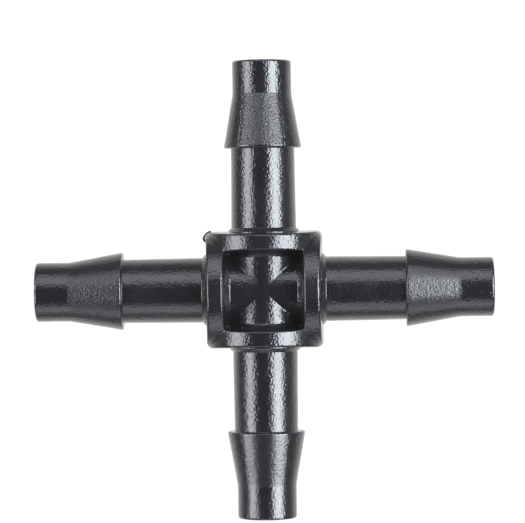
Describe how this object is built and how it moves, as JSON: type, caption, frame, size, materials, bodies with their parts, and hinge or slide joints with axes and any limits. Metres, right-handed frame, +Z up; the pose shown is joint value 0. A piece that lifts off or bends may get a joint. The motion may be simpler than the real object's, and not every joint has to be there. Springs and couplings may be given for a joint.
{
  "type": "barbed cross fitting",
  "caption": "Moulded cross fitting that joins soft micro-irrigation tubes pushed over its barbed spigots.",
  "frame": {"origin": "middle of the hub, where the axes of the two water ways cross; it is also the middle of the part's box", "axes": "the cross lies flat in the XY plane: +X along the right spigot, +Y along the back spigot, +Z up out of the upper recess"},
  "size_m": [0.0306, 0.0306, 0.0078],
  "materials": {
    "black_moulding": "moulded black plastic, satin gloss with a fine pebbled surface and matte barbs"
  },
  "bodies": {
    "root": {"hub": "black_moulding", "spigot_left": "black_moulding", "spigot_right": "black_moulding", "spigot_front": "black_moulding", "spigot_back": "black_moulding"}
  },
  "joints": []
}
